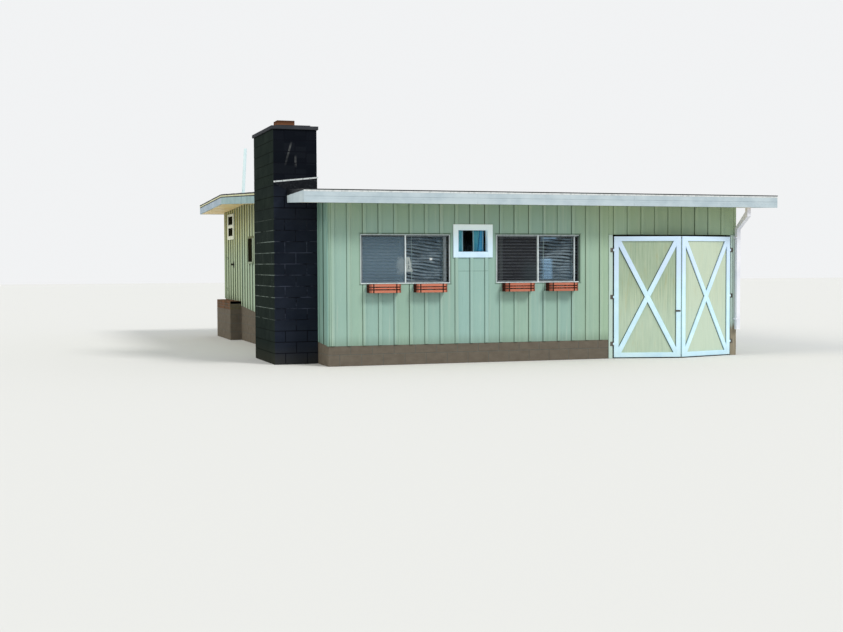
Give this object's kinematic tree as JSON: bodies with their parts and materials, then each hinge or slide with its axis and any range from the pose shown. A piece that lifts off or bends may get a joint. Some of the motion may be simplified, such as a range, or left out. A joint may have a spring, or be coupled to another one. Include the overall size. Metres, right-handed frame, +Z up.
{
  "type": "lakeside boathouse",
  "caption": "Low timber boathouse with board siding, shallow gable roof, block chimney, sliding windows with planter boxes and a pair of braced boat doors.",
  "frame": {"origin": "outer front left corner of the walls, on the ground line at the boat doors", "axes": "+X along the water wall to the right, +Y from the water wall to the back, +Z up"},
  "size_m": [9.686, 12.142, 4.6562],
  "materials": {
    "foundation_block": "painted and weathered concrete block, grey",
    "floor_concrete": "trowelled concrete, dusty",
    "siding_green": "vertical board siding, satin sage green paint",
    "trim_white": "satin white paint on boards",
    "roof_membrane": "granule faced roofing, dark grey",
    "chimney_paint": "black masonry paint over concrete block",
    "flue_clay": "unglazed clay, sooted",
    "vent_plastic": "white plastic pipe, chalky",
    "bitumen_flashing": "torched bitumen membrane, wrinkled",
    "window_aluminium": "mill finish, dulled",
    "window_glass": "clear window glass",
    "blind_slats": "off-white blind slats",
    "curtain_fabric": "plain woven teal cotton",
    "planter_red": "terracotta red stain on slats",
    "hinge_steel": "dull weathered steel",
    "door_panel_green": "pale green paint on plywood, faint grain",
    "knob_bronze": "dark bronze",
    "brick_red": "red brick with grey mortar"
  },
  "bodies": {
    "building": {"foundation_front": "foundation_block", "foundation_left": "foundation_block", "foundation_right": "foundation_block", "foundation_back": "foundation_block", "room_floor": "floor_concrete", "rear_floor": "floor_concrete", "bay_floor": "floor_concrete", "front_wall": "siding_green", "front_wall_over_doors": "siding_green", "door_posts": "siding_green", "left_wall_front": "siding_green", "left_wall_over_door": "siding_green", "left_wall_rear": "siding_green", "back_wall": "siding_green", "right_wall": "siding_green", "roof_front": "trim_white", "roof_back": "trim_white", "roofing_front": "roof_membrane", "roofing_back": "roof_membrane", "fascia_front": "trim_white", "fascia_back": "trim_white", "rake_left_front": "trim_white", "rake_left_rear": "trim_white", "rake_right": "trim_white", "downspout": "trim_white", "chimney_stack": "chimney_paint", "chimney_crown": "chimney_paint", "flue_tile": "flue_clay", "chimney_flashing": "bitumen_flashing", "flashing_bar": "window_aluminium", "vent_pipe": "vent_plastic", "front_window_left": "window_aluminium", "front_window_right": "window_aluminium", "small_window": "trim_white", "side_window": "trim_white", "window_glass": "window_glass", "window_blinds": "blind_slats", "small_window_curtains": "curtain_fabric", "planter_1": "planter_red", "planter_2": "planter_red", "planter_3": "planter_red", "planter_4": "planter_red", "boat_door_hinge_pins": "hinge_steel", "side_door_frame": "siding_green", "side_door_hinge_pins": "hinge_steel", "brick_step": "brick_red"},
    "boat_door_left": {"boat_door_left_panel": "door_panel_green", "boat_door_left_frame": "trim_white", "boat_door_bolt": "hinge_steel"},
    "boat_door_right": {"boat_door_right_panel": "door_panel_green", "boat_door_right_frame": "trim_white"},
    "side_door": {"side_door_leaf": "siding_green", "side_door_window": "trim_white", "side_door_glass": "window_glass", "side_door_knob": "knob_bronze"}
  },
  "joints": [
    {"name": "boat_door_left_hinge", "type": "hinge", "parent": "building", "child": "boat_door_left", "pos_m": [5.59, -0.03, 1.175], "axis": [0, 0, -1], "range_deg": [0, 90]},
    {"name": "boat_door_right_hinge", "type": "hinge", "parent": "building", "child": "boat_door_right", "pos_m": [8.14, -0.03, 1.175], "axis": [0, 0, 1], "range_deg": [0, 90]},
    {"name": "side_door_hinge", "type": "hinge", "parent": "building", "child": "side_door", "pos_m": [-0.009, 10.616, 2], "axis": [0, 0, -1], "range_deg": [0, 100]}
  ]
}
